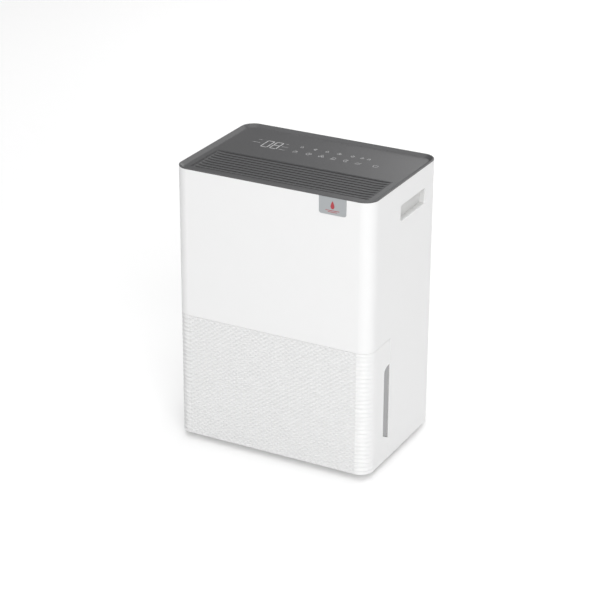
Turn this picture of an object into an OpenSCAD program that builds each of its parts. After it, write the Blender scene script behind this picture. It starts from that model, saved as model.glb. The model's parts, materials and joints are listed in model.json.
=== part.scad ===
// Compressor dehumidifier with a front-loading water tank, in millimetres.
// The origin is on the floor at the centre of the footprint: +X right, +Y back, +Z up.

/* [Cabinet] */
// Width of the cabinet, side to side
body_w = 350; // [348:1:356]
// Depth of the cabinet, front to back
body_d = 242.6; // [241.6:0.2:246]
// Height from the floor to the top edge
body_h = 481; // [479:1:490]
// Radius of the four upright corners
corner_r = 23; // [20:1:24]
// Thickness of the moulded walls
wall = 2.5; // [2.2:0.1:2.6]
// Height of the feet under the cabinet
foot_h = 11; // [10:0.5:12]

/* [Top] */
// Height of the thin lip round the top cover
lip_h = 2; // [1.5:0.5:3]
// Depth of the dished panel under the lip
dish_depth = 4.5; // [3:0.5:5]
// Number of slats in the air outlet
slat_count = 8; // [6:1:8]
// Distance from one slat to the next
slat_pitch = 10; // [9:0.1:10]

/* [Water tank] */
// Height of the tank cover above the cabinet's lower edge
cover_h = 215; // [212:1:218]
// How far the tank cover reaches back from the middle, negative is forward
cover_back_y = -44; // [-50:1:-40]
// Gap that shows round the tank cover
reveal = 0.8; // [0.5:0.1:1]
// Width of the tank
tank_w = 320; // [300:1:322]
// Height of the tank without its lid
tank_h = 156; // [150:1:158]
// Wall of the tank
tank_wall = 2.5; // [2:0.1:3]

/* [Carrying grips] */
// Length of a grip opening
grip_len = 90.5; // [80:0.5:95]
// Height of a grip opening
grip_h = 26.5; // [24:0.5:30]
// Depth of the lower part of a grip
grip_depth = 9; // [6:0.5:10]

/* [Rear] */
// Width of the removable filter frame
filter_w = 259; // [240:1:262]
// Height of the removable filter frame
filter_h = 203; // [190:1:205]
// Outer radius of the hose spigot
spigot_r = 7; // [6:0.5:8]
// Free length of the hose spigot
spigot_len = 17; // [14:1:18]
// Radius of the hole for the mains lead
cord_hole_r = 3.6; // [3:0.1:4]

/* [Fan] */
// Outer radius of the fan wheel
wheel_r = 82; // [76:1:84]
// Number of blades on the fan wheel
blade_count = 30; // [20:1:36]
// Radius of the motor shaft
shaft_r = 4; // [3:0.5:5]

/* [Hidden] */
$fn = 64;

// Half sizes, and the inner faces of the walls
hx = body_w / 2;
hy = body_d / 2;
in_x = hx - wall;
in_y = hy - wall;
far = 400;
slip = 0.3;
running = 0.05;

// Levels, from the floor up
seam_z = foot_h + cover_h;
lip_z = body_h - lip_h;
panel_z = body_h - dish_depth;
panel_t = 2.5;
skirt_z = body_h - 12;
deck_z = 232;
deck_t = 3;
base_t = 4;
base_z = foot_h + base_t;
split_y = hy - corner_r;
proud = 0.4;
lip_w = 8;
foot_x = 145;

// Air outlet in the top
slat_front_y = -92.2;
slat_w = 5.4;
slat_h = 4;
slat_drop = 1;
outlet_x = 157;
outlet_y0 = slat_front_y - 6.8;
outlet_y1 = slat_front_y + slat_pitch * (slat_count - 1) + slat_w + 4.3;
rib_pitch = 11.5;

// Control panel
overlay_t = 1;
overlay_y0 = outlet_y1 + 1.2;
digits_x = -90.5;
digits_y = 50;
key_x = [-42, -18, 5, 27, 50, 72, 102];
key_y = 39.5;
pcb_z = 464;
pcb_t = 1.6;

// Badge on the front
badge_x = 107.5;
badge_w = 47;
badge_h = 28.5;
badge_t = 1.2;

// Grips
grip_y = 26.7;
grip_z0 = foot_h + 405.5;
grip_up = 15;
grip_in = 22;
cup_t = 2;

// Tank and its fittings
tank_front_y = -in_y + 0.2;
tank_back_y = 4;
tank_z = base_z + 1.3;
tank_top = tank_z + tank_h - 0.3;
tank_r = 18;
tank_mid_y = (tank_front_y + tank_back_y) / 2;
tank_d = tank_back_y - tank_front_y;
lid_t = 4;
fill_y = -13;
fill_r = 12;
pin_r = 3;
pivot_y = -30;
pivot_z = 160;
bail_y = -80;
bail_z = 182;
bail_r = 5;
arm_x0 = tank_w / 2 + 1.3;
arm_t = 5;
window_y = cover_back_y - 21;
window_z0 = foot_h + 37;
window_heel = foot_h + 48;
window_knee = foot_h + 161;
window_tip = foot_h + 171;
float_y = -8;
float_z = 140;
float_r = 2;
lever_y = 7.5;
lever_z = 152;
lever_r = 1.5;

// Fan and air path
fan_z = 352;
scroll_r = 100;
scroll_y0 = -97;
scroll_y1 = -30;
motor_r = 40;

// Heat exchangers
tube_count = 8;
tube_pitch = 24;
tube_z0 = 264;
tube_r = 4;
socket_r = 4.7;
coil_z0 = 252;
coil_z1 = 444;
coil_x = 118;
fin_pitch = 8;
plate_x = 123;
evap_y = 84;
cond_y = 55;
fin_d = 23;

// Compressor
comp_x = 70;
comp_y = 68;
comp_r = 45;
comp_plate_z = 27;
bolt_dx = 58;
bolt_dy = 28;

// Rear fittings
filter_z = 348;
drain_x = -120;
drain_z = 190;
recess_y = 101;
gland_x = 110;
gland_z = 60;
screw_x = 146;
screw_z = [60, 235, 455];

// A rectangle with true round corners
module rounded(w, d, r) {
    square([w - 2 * r, d], center = true);
    square([w, d - 2 * r], center = true);
    for (x = [-1, 1], y = [-1, 1])
        translate([x * (w / 2 - r), y * (d / 2 - r)]) circle(r);
}

// The cabinet's plan, set in from its outer face, between two levels
module plan(inset, z0, z1) {
    translate([0, 0, z0])
        linear_extrude(z1 - z0)
            rounded(body_w - 2 * inset, body_d - 2 * inset, corner_r - inset);
}

// A wall that follows the cabinet's plan
module ring(outer, inner, z0, z1) {
    difference() {
        plan(outer, z0, z1);
        plan(inner, z0 - 1, z1 + 1);
    }
}

// A box between two corners
module block(lo, hi) {
    translate(lo) cube(hi - lo);
}

// Rods along each axis, placed by the other two coordinates
module rod_x(r, x0, x1, y, z) {
    translate([x0, y, z]) rotate([0, 90, 0]) cylinder(r = r, h = x1 - x0);
}
module rod_y(r, y0, y1, x, z) {
    translate([x, y0, z]) rotate([-90, 0, 0]) cylinder(r = r, h = y1 - y0);
}
module rod_z(r, z0, z1, x, y) {
    translate([x, y, z0]) cylinder(r = r, h = z1 - z0);
}

// A pipe along axis-parallel legs, with a ball at each bend
module pipe(points, r) {
    for (i = [1 : len(points) - 1]) {
        a = points[i - 1];
        b = points[i];
        leg = b - a;
        turn = leg.x != 0 ? [0, leg.x > 0 ? 90 : -90, 0]
             : leg.y != 0 ? [leg.y > 0 ? -90 : 90, 0, 0]
             : [leg.z > 0 ? 0 : 180, 0, 0];
        translate(a) rotate(turn) cylinder(r = r, h = norm(leg));
    }
    for (i = [1 : len(points) - 2])
        translate(points[i]) sphere(r);
}

// A solid whose outline lies in the YZ plane, between two X values
module from_side(x0, x1) {
    translate([x0, 0, 0])
        rotate([90, 0, 90])
            linear_extrude(x1 - x0)
                children();
}

// A solid whose outline lies in the XZ plane, between two Y values
module from_front(y0, y1) {
    translate([0, y1, 0])
        rotate([90, 0, 0])
            linear_extrude(y1 - y0)
                children();
}

// ---- Cabinet ----

module grip_opening(side) {
    from_side(side > 0 ? in_x - 1 : -hx - 1, side > 0 ? hx + 1 : -in_x + 1)
        translate([grip_y, grip_z0 + grip_h / 2]) rounded(grip_len, grip_h, 3.5);
}

module badge_outline(w, h, r) {
    translate([-w / 2, -h / 2 + r]) square([w, h - r]);
    translate([-w / 2 + r, -h / 2]) square([w - 2 * r, h]);
    for (x = [-1, 1])
        translate([x * (w / 2 - r), -h / 2 + r]) circle(r);
}

module front_casing() {
    color("white") difference() {
        union() {
            ring(0, wall, foot_h, lip_z);
            for (s = [-1, 1])
                block([s > 0 ? 138 : -hx + 1, 90, base_z + 1], [s > 0 ? hx - 1 : -138, split_y, skirt_z - 4]);
        }
        block([-far, split_y, 0], [far, far, far + 200]);
        block([-far, -far, 0], [far, cover_back_y, seam_z]);
        for (s = [-1, 1])
            grip_opening(s);
        from_front(-hy - 1, -hy + badge_t - proud)
            translate([badge_x, lip_z - badge_h / 2]) badge_outline(badge_w, badge_h, 4);
        for (x = [-screw_x, screw_x], z = screw_z)
            rod_y(2.1, 80, far, x, z);
    }
}

module rear_cover() {
    color("white") difference() {
        ring(0, wall, foot_h, lip_z);
        block([-far, -far, 0], [far, split_y + 0.1, far + 200]);
        block([-filter_w / 2 - 0.5, 90, filter_z - filter_h / 2 - 0.5],
              [filter_w / 2 + 0.5, far, filter_z + filter_h / 2 + 0.5]);
        rod_y(20, 90, far, drain_x, drain_z);
        rod_y(8, 90, far, gland_x, gland_z);
        for (x = [-screw_x, screw_x], z = screw_z) {
            rod_y(2.2, 90, far, x, z);
            rod_y(4.3, hy - 1.2, far, x, z);
        }
        for (i = [-5 : 5])
            from_front(90, far)
                translate([i * 9 - 20, 90]) rounded(3, 50, 1.45);
    }
}

module top_cover() {
    color("#6a6a6b") {
        difference() {
            union() {
                plan(0, lip_z, body_h);
                plan(wall + slip, skirt_z, lip_z);
            }
            plan(lip_w, panel_z, body_h + 1);
            plan(wall + 3, skirt_z - 1, panel_z - panel_t);
            block([-outlet_x, outlet_y0, skirt_z], [outlet_x, outlet_y1, body_h]);
            intersection() {
                plan(lip_w, panel_z - overlay_t, panel_z + 1);
                block([-far, overlay_y0, skirt_z], [far, far, body_h]);
            }
        }
        for (x = [-118, 108], y = [0, 70])
            rod_z(3, pcb_z + pcb_t, panel_z - panel_t, x, y);
    }
}

module outlet_grille() {
    z1 = panel_z - slat_drop;
    z0 = z1 - slat_h;
    color("#4d4d4e") {
        difference() {
            block([-outlet_x + slip, outlet_y0 + slip, z0 - 2], [outlet_x - slip, outlet_y1 - slip, z1]);
            block([-outlet_x + 3, outlet_y0 + 2, z0 - 3], [outlet_x - 3, outlet_y1 - 2, z1 + 1]);
        }
        for (i = [0 : slat_count - 1]) {
            y = slat_front_y + i * slat_pitch;
            block([-outlet_x + 2, y, z0], [outlet_x - 2, y + slat_w, z1]);
        }
        for (i = [-13 : 13])
            block([i * rib_pitch - 0.6, outlet_y0 + 1, z0 - 2], [i * rib_pitch + 0.6, outlet_y1 - 1, z0]);
    }
}

module control_overlay() {
    color("#6e6e6f") intersection() {
        plan(lip_w + 0.1, panel_z - overlay_t, panel_z);
        block([-far, overlay_y0 + 0.1, skirt_z], [far, far, body_h]);
    }
}

module display_pcb() {
    color("darkgreen") difference() {
        block([-125, -5, pcb_z], [115, 75, pcb_z + pcb_t]);
        for (x = [-105, 0, 95])
            rod_z(1.6, pcb_z - 1, pcb_z + pcb_t + 1, x, 2);
    }
}

module display_digits() {
    color("black") block([digits_x - 18, digits_y - 17.5, pcb_z + pcb_t],
        [digits_x + 18, digits_y + 17.5, panel_z - panel_t - slip]);
}

module touch_springs() {
    color("silver")
        for (x = key_x)
            rod_z(4, pcb_z + pcb_t, panel_z - panel_t, x, key_y);
}

module badge_plate() {
    color("#b4b7b9")
        from_front(-hy - proud, -hy + badge_t - proud)
            translate([badge_x, lip_z - badge_h / 2]) badge_outline(badge_w - 0.2, badge_h, 3.9);
}

module base_pan() {
    color("#dcdcdc") {
        difference() {
            plan(wall + 1, foot_h, base_z);
            for (x = [comp_x - bolt_dx, comp_x + bolt_dx], y = [comp_y - bolt_dy, comp_y + bolt_dy])
                rod_z(pin_r + running, 0, 40, x, y);
        }
        for (x = [-150, 150])
            block([x - 2, -110, base_z], [x + 2, 14, base_z + 1]);
    }
}

module foot_places() {
    for (s = [-1, 1]) {
        translate([s * foot_x, -70]) children();
        translate([s * foot_x, 80]) children();
    }
}

module feet() {
    color("#e4e4e4") foot_places()
        translate([0, 0, 1.5]) linear_extrude(foot_h - 1.5) rounded(24, 41, 5);
}

module foot_pads() {
    color("#3a3a3a") foot_places()
        linear_extrude(1.5) rounded(19, 36, 4);
}

// The hollow of a grip: a shallow lower part, and room for the fingers above the opening
module grip_hollow(t) {
    lo = grip_z0;
    hi = grip_z0 + grip_h + grip_up;
    knee = grip_z0 + grip_h - 7;
    polygon([[in_x + (t > 0 ? 0 : 1), lo - t], [hx - grip_depth - t, lo - t],
        [hx - grip_depth - t, knee], [hx - grip_in - t, knee + 12],
        [hx - grip_in - t, hi + t], [in_x + (t > 0 ? 0 : 1), hi + t]]);
}

module grip_cup() {
    y0 = grip_y - grip_len / 2;
    y1 = grip_y + grip_len / 2;
    difference() {
        from_front(y0 - cup_t, y1 + cup_t) grip_hollow(cup_t);
        from_front(y0, y1) grip_hollow(0);
    }
}

module right_grip_cup() {
    color("#d8d8d8") translate([-0.05, 0, 0]) grip_cup();
}

module left_grip_cup() {
    color("#d8d8d8") mirror([1, 0, 0]) translate([-0.05, 0, 0]) grip_cup();
}

module bay_wall() {
    color("#cfcfcf") block([-in_x + 1, 16, base_z], [in_x - 1, 18.5, deck_z]);
}

module deck() {
    color("#cfcfcf") difference() {
        union() {
            difference() {
                plan(wall + slip, deck_z, deck_z + deck_t);
                block([-far, 89.5, 0], [far, far, far]);
            }
            block([-137, 80, deck_z], [137, in_y - slip, deck_z + deck_t]);
        }
        rod_z(9, deck_z - 1, deck_z + deck_t + 1, 0, fill_y);
        rod_z(7, deck_z - 1, deck_z + deck_t + 1, drain_x, 88);
        rod_z(5, deck_z - 1, deck_z + deck_t + 1, 140, 70);
        rod_z(4.8, deck_z - 1, deck_z + deck_t + 1, -146, evap_y);
    }
}

// ---- Water tank ----

module tank_plan(inset, z0, z1) {
    translate([0, tank_mid_y, z0])
        linear_extrude(z1 - z0)
            rounded(tank_w - 2 * inset, tank_d - 2 * inset, tank_r - inset);
}

module water_tank() {
    color("#c9ccce") {
        difference() {
            tank_plan(0, tank_z, tank_top);
            tank_plan(tank_wall, tank_z + tank_wall, tank_top + 1);
        }
        for (s = [-1, 1])
            rod_x(pin_r, s > 0 ? tank_w / 2 - 1 : -tank_w / 2 - 7.5, s > 0 ? tank_w / 2 + 7.5 : -tank_w / 2 + 1,
                pivot_y, pivot_z);
        difference() {
            for (x = [86, 130])
                block([x, -12, float_z - 6], [x + 4, tank_back_y - 1, float_z + 6]);
            rod_x(float_r + running, 80, 140, float_y, float_z);
        }
    }
}

// The side window's outline: a slanted foot, an upright front edge, and a curve up to the back edge
module window_outline(gap) {
    back = cover_back_y - reveal;
    run = back - window_y - gap;
    rise = window_tip - window_knee;
    polygon(concat([[back, window_z0 + gap], [window_y + gap, window_heel + gap]],
        [for (a = [0 : 9 : 90]) [back - run * cos(a), window_knee + (rise - gap) * sin(a)]]));
}

module tank_front_cover() {
    color("white") difference() {
        union() {
            ring(0, wall, foot_h + 0.5, seam_z - reveal);
            ring(wall - 0.5, wall + 8, seam_z - reveal - 3, seam_z - reveal);
        }
        block([-far, cover_back_y - reveal, 0], [far, far, far]);
        for (s = [-1, 1])
            from_side(s > 0 ? in_x - 1 : -hx - 1, s > 0 ? hx + 1 : -in_x + 1)
                window_outline(0);
    }
}

module level_windows() {
    color([0.69, 0.69, 0.69, 0.9])
        for (s = [-1, 1])
            from_side(s > 0 ? in_x - 0.6 : -hx + 1.4, s > 0 ? hx - 1.4 : -in_x + 0.6)
                window_outline(0.15);
}

module tank_lid() {
    color("#e6e6e6") difference() {
        union() {
            tank_plan(0, tank_top, tank_top + lid_t);
            difference() {
                tank_plan(tank_wall + slip, tank_top - 4, tank_top);
                tank_plan(tank_wall + 2.5, tank_top - 5, tank_top + 1);
            }
        }
        rod_z(fill_r, tank_top - 10, tank_top + 10, 0, fill_y);
    }
}

module tank_handle() {
    reach = norm([bail_y - pivot_y, bail_z - pivot_z]);
    tilt = atan2(bail_z - pivot_z, bail_y - pivot_y);
    color("#d9d9d9") {
        for (s = [-1, 1])
            difference() {
                from_side(s > 0 ? arm_x0 : -arm_x0 - arm_t, s > 0 ? arm_x0 + arm_t : -arm_x0) {
                    translate([pivot_y, pivot_z]) circle(6);
                    translate([bail_y, bail_z]) circle(bail_r);
                    translate([pivot_y, pivot_z]) rotate(tilt) translate([0, -4]) square([reach, 8]);
                }
                rod_x(pin_r + running, s > 0 ? arm_x0 - 1 : -arm_x0 - arm_t - 1,
                    s > 0 ? arm_x0 + arm_t + 1 : -arm_x0 + 1, pivot_y, pivot_z);
            }
        rod_x(bail_r, -arm_x0 - 1, arm_x0 + 1, bail_y, bail_z);
    }
}

module tank_float() {
    color("#f2f2f2") {
        rod_x(float_r, 84, 136, float_y, float_z);
        rod_x(5, 100, 120, float_y, float_z);
        block([104, -40, float_z - 2], [116, float_y, float_z + 2]);
        translate([110, -55, float_z - 18]) linear_extrude(20) rounded(36, 40, 6);
    }
}

module tank_switch() {
    color("#2f2f30") {
        block([-135, 10, 140], [-105, 15.9, 160]);
        difference() {
            for (x = [-131, -111.5])
                block([x, 4.6, lever_z - 4], [x + 2.5, 11, lever_z + 4]);
            rod_x(lever_r + running, -140, -100, lever_y, lever_z);
        }
    }
}

module switch_lever() {
    color("#e0e0e0") {
        rod_x(lever_r, -132, -108, lever_y, lever_z);
        rod_x(2.3, -128, -112, lever_y, lever_z);
        block([-128, 5.4, 120], [-112, 6.8, lever_z]);
    }
}

// ---- Heat exchangers and water path ----

module drip_tray() {
    color("#4a4a4a") difference() {
        union() {
            block([-130, 36, deck_z + deck_t], [130, 104, 250]);
            block([-14, -24, deck_z + deck_t], [14, 37, 246]);
            rod_z(8, 228, deck_z + deck_t + 1, 0, fill_y);
        }
        block([-128, 38, 239], [128, 102, 251]);
        block([-12, -22, 239], [12, 39, 251]);
        rod_z(6, 227, 240, 0, fill_y);
        rod_z(5, 230, 240, drain_x, 88);
    }
}

module fins(y) {
    for (x = [-coil_x : fin_pitch : coil_x])
        from_side(x - 0.25, x + 0.25)
            difference() {
                translate([y - fin_d / 2, coil_z0]) square([fin_d, coil_z1 - coil_z0]);
                for (i = [0 : tube_count - 1])
                    translate([y, tube_z0 + i * tube_pitch]) circle(tube_r + 0.15);
            }
}

// Straight tubes joined by half-round bends in short sockets, with both free ends on one side
module serpentine(y, free_side) {
    half = plate_x + 2;
    for (i = [0 : tube_count - 1])
        rod_x(tube_r, -half, half, y, tube_z0 + i * tube_pitch);
    for (i = [0 : tube_count - 2]) {
        s = i % 2 == 0 ? -free_side : free_side;
        for (z = [tube_z0 + i * tube_pitch, tube_z0 + (i + 1) * tube_pitch])
            rod_x(socket_r, s > 0 ? half - 1 : -half - 0.5, s > 0 ? half + 0.5 : -half + 1, y, z);
        translate([s * (half + 0.5), y, tube_z0 + (i + 0.5) * tube_pitch])
            rotate([90, 0, 0])
                rotate(s > 0 ? -90 : 90)
                    rotate_extrude(angle = 180)
                        translate([tube_pitch / 2, 0]) circle(tube_r);
    }
}

module evaporator_fins() {
    color("#c8d0d4") fins(evap_y);
}

module evaporator_tubes() {
    color("#b87333") serpentine(evap_y, -1);
}

module condenser_fins() {
    color("#c8d0d4") fins(cond_y);
}

module condenser_tubes() {
    color("#b87333") serpentine(cond_y, 1);
}

module coil_end_plates() {
    color("#aeb4b8")
        for (s = [-1, 1])
            from_side(s * plate_x - 0.5, s * plate_x + 0.5)
                difference() {
                    translate([cond_y - 14, 250.2]) square([evap_y - cond_y + 28, 196]);
                    for (y = [evap_y, cond_y], i = [0 : tube_count - 1])
                        translate([y, tube_z0 + i * tube_pitch]) circle(tube_r + 0.15);
                }
}

// ---- Refrigeration circuit ----

module compressor() {
    dome = 75;
    color("#1f1f20") {
        rod_z(comp_r, 45, 170, comp_x, comp_y);
        intersection() {
            translate([comp_x, comp_y, 110]) sphere(dome);
            rod_z(comp_r, 169, 190, comp_x, comp_y);
        }
        rod_z(30, comp_plate_z + 2, 46, comp_x, comp_y);
        rod_z(4.5, 170, 196, comp_x + 25, comp_y);
        difference() {
            translate([comp_x, comp_y, comp_plate_z]) linear_extrude(3) rounded(134, 76, 12);
            for (x = [-bolt_dx, bolt_dx], y = [-bolt_dy, bolt_dy])
                rod_z(pin_r + 0.2, 20, 40, comp_x + x, comp_y + y);
        }
    }
}

module bolt_places() {
    for (x = [-bolt_dx, bolt_dx], y = [-bolt_dy, bolt_dy])
        translate([comp_x + x, comp_y + y, 0]) children();
}

module compressor_grommets() {
    color("#2b2b2b") bolt_places()
        difference() {
            translate([0, 0, base_z]) cylinder(r = 9, h = comp_plate_z - base_z);
            translate([0, 0, base_z - 1]) cylinder(r = pin_r + 0.2, h = 20);
        }
}

module compressor_bolts() {
    color("silver") bolt_places() {
        translate([0, 0, foot_h + 0.5]) cylinder(r = pin_r, h = comp_plate_z - foot_h + 7);
        translate([0, 0, comp_plate_z + 3]) cylinder(r = 5.5, h = 4, $fn = 6);
    }
}

module terminal_cover() {
    color("#303030") rod_z(15, 190, 203, comp_x - 14, comp_y);
}

module accumulator() {
    color("#26272a") {
        rod_z(14, 66, 134, 8, comp_y);
        translate([8, comp_y, 66]) sphere(14);
        translate([8, comp_y, 134]) sphere(14);
    }
}

module suction_pipe() {
    half = plate_x + 2;
    top = tube_z0 + (tube_count - 1) * tube_pitch;
    color("#b87333") {
        pipe([[-half, evap_y, top], [-146, evap_y, top], [-146, evap_y, 215], [-146, comp_y, 215],
            [8, comp_y, 215], [8, comp_y, 148]], tube_r - 0.5);
        pipe([[8, comp_y, 52], [8, comp_y, 48.5], [comp_x - comp_r - 0.1, comp_y, 48.5]], 3);
    }
}

module discharge_pipe() {
    half = plate_x + 2;
    top = tube_z0 + (tube_count - 1) * tube_pitch;
    color("#b87333")
        pipe([[comp_x + 25, comp_y, 196], [comp_x + 25, comp_y, 218], [140, comp_y, 218],
            [140, comp_y, top], [140, cond_y, top], [half, cond_y, top]], 3);
}

module filter_drier() {
    color("#c77f3e") {
        rod_z(8, 275, 325, 150, 62);
        rod_z(3, 268, 276, 150, 62);
        rod_z(2, 324, 332, 150, 62);
    }
}

module capillary_tube() {
    half = plate_x + 2;
    color("#b87333") {
        pipe([[150, 62, 332], [150, 62, 344], [150, 38, 344], [150, 38, 256], [-136, 38, 256],
            [-136, evap_y, 256], [-136, evap_y, tube_z0], [-half, evap_y, tube_z0]], 1.5);
        pipe([[150, 62, 268], [150, 62, tube_z0], [150, cond_y, tube_z0], [half, cond_y, tube_z0]], 2);
    }
}

// ---- Fan ----

module scroll_outline(inset) {
    translate([0, fan_z]) circle(scroll_r - inset);
    translate([-scroll_r + inset, fan_z])
        square([scroll_r + 70 - 2 * inset, skirt_z - fan_z - 1 + (inset > 0 ? 10 : 0)]);
}

module fan_scroll() {
    color("#e9e9e9") difference() {
        from_front(scroll_y0, scroll_y1) scroll_outline(0);
        from_front(scroll_y0 + 2, scroll_y1 + 1) scroll_outline(2);
        rod_y(motor_r + 0.5, scroll_y0 - 1, scroll_y0 + 3, 0, fan_z);
    }
}

module orifice_plate() {
    color("#e9e9e9") difference() {
        block([-128, scroll_y1 + 0.1, deck_z + deck_t + 0.1], [128, scroll_y1 + 2.1, skirt_z - 1]);
        rod_y(68, scroll_y1 - 1, scroll_y1 + 4, 0, fan_z);
    }
}

module fan_motor() {
    color("#77797c") difference() {
        union() {
            rod_y(motor_r, -117, -68, 0, fan_z);
            rod_y(motor_r + 8, -100, scroll_y0, 0, fan_z);
        }
        rod_y(shaft_r + running, -104, -60, 0, fan_z);
    }
}

module fan_shaft() {
    color("silver") rod_y(shaft_r, -103, -44, 0, fan_z);
}

module fan_wheel() {
    color("#3c3c3e") difference() {
        union() {
            for (i = [0 : blade_count - 1])
                translate([0, 0, fan_z]) rotate([0, i * 360 / blade_count, 0])
                    translate([wheel_r - 15, -90, -0.8]) cube([14, 50, 1.6]);
            for (y = [-91, -41])
                difference() {
                    rod_y(wheel_r, y, y + 2, 0, fan_z);
                    rod_y(wheel_r - 15, y - 1, y + 3, 0, fan_z);
                }
            rod_y(wheel_r - 10, -65, -63, 0, fan_z);
            rod_y(11, -64, -48, 0, fan_z);
        }
        rod_y(shaft_r + 0.02, -70, -40, 0, fan_z);
    }
}

// ---- Electrical parts ----

module control_box() {
    color("#b9bcbe") difference() {
        block([-170, -96, 245], [-132, 25, 395]);
        block([-168.5, -94.5, 246.5], [-131, 23.5, 393.5]);
    }
}

module main_pcb() {
    color("#2d6b3a") {
        block([-164, -90, 250], [-162.4, 20, 390]);
        block([-162.4, -80, 262], [-144, -50, 292]);
        block([-162.4, -30, 270], [-146, -12, 300]);
        block([-162.4, -70, 330], [-150, 10, 346]);
        rod_x(9, -162.4, -138, -20, 365);
    }
}

module capacitor() {
    color("#d7d9db") {
        rod_z(17, base_z, 92, -70, 66);
        rod_z(9, 92, 96, -70, 66);
    }
}

module humidity_sensor() {
    color("#ededed") difference() {
        block([134, 111, 300], [150, in_y - 0.1, 330]);
        for (z = [306 : 6 : 324])
            block([137, 110, z - 1], [147, 113, z + 1]);
    }
}

// ---- Rear ----

module filter_frame() {
    w = filter_w;
    h = filter_h;
    color("#f0f0f0") {
        difference() {
            from_front(110, hy + proud) translate([0, filter_z]) rounded(w, h, 4);
            from_front(109, hy + 1) translate([0, filter_z]) square([w - 16, h - 16], center = true);
            from_front(109, hy - 3.5) translate([0, filter_z]) square([w - 5, h - 5], center = true);
            from_front(hy - 1.6, hy + 1) translate([0, filter_z + h / 2 - 4.5]) rounded(46, 5, 2.4);
        }
        for (i = [-12 : 12])
            block([-w / 2 + 7, hy - 3.4, filter_z + i * 7.4 - 2], [w / 2 - 7, hy - 0.6, filter_z + i * 7.4 + 2]);
        for (x = [-62, 0, 62])
            block([x - 2, hy - 3.4, filter_z - h / 2 + 7], [x + 2, hy + proud, filter_z + h / 2 - 7]);
    }
}

module filter_mesh() {
    color("#5b5d60")
        block([-filter_w / 2 + 3, hy - 4.5, filter_z - filter_h / 2 + 3],
              [filter_w / 2 - 3, hy - 3.6, filter_z + filter_h / 2 - 3]);
}

module drain_recess() {
    color("#dedede") difference() {
        union() {
            rod_y(19.8, recess_y - 2, hy, drain_x, drain_z);
            rod_y(24, in_y - 3, in_y - 0.1, drain_x, drain_z);
        }
        rod_y(17.8, recess_y, hy + 1, drain_x, drain_z);
        rod_y(spigot_r - 0.4, 90, recess_y + 1, drain_x, drain_z);
    }
}

module drain_spigot() {
    color("#d2d2d2") difference() {
        union() {
            rod_y(spigot_r, recess_y, recess_y + spigot_len, drain_x, drain_z);
            rod_y(spigot_r - 0.5, 96, recess_y, drain_x, drain_z);
        }
        rod_y(5, 95, 130, drain_x, drain_z);
    }
}

module drain_hose() {
    color("#9fa3a6") {
        pipe([[drain_x, 88, deck_z + deck_t], [drain_x, 88, drain_z], [drain_x, 96, drain_z]], 6);
    }
}

module cord_gland() {
    color("#2b2b2b") difference() {
        union() {
            rod_y(7.8, 108, hy, gland_x, gland_z);
            rod_y(11, in_y - 4, in_y - 0.1, gland_x, gland_z);
        }
        rod_y(cord_hole_r, 100, 130, gland_x, gland_z);
    }
}

module rear_screws() {
    color("silver")
        for (x = [-screw_x, screw_x], z = screw_z) {
            rod_y(2, 90.5, hy - 1.2, x, z);
            rod_y(4, hy - 1.2, hy, x, z);
        }
}

front_casing();
rear_cover();
top_cover();
outlet_grille();
control_overlay();
display_pcb();
display_digits();
touch_springs();
badge_plate();
base_pan();
feet();
foot_pads();
left_grip_cup();
right_grip_cup();
bay_wall();
deck();
water_tank();
tank_front_cover();
level_windows();
tank_lid();
tank_handle();
tank_float();
tank_switch();
switch_lever();
drip_tray();
evaporator_fins();
evaporator_tubes();
condenser_fins();
condenser_tubes();
coil_end_plates();
compressor();
compressor_grommets();
compressor_bolts();
terminal_cover();
accumulator();
suction_pipe();
discharge_pipe();
filter_drier();
capillary_tube();
fan_scroll();
orifice_plate();
fan_motor();
fan_shaft();
fan_wheel();
control_box();
main_pcb();
capacitor();
humidity_sensor();
filter_frame();
filter_mesh();
drain_recess();
drain_spigot();
drain_hose();
cord_gland();
rear_screws();
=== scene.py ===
"""Finishes and fine shapes for a compressor dehumidifier, laid out as a Blender add-on."""
import json
import math

import bmesh
import bpy
from bpy.props import FloatProperty, IntProperty, PointerProperty, StringProperty
from mathutils import Matrix, Vector


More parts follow.
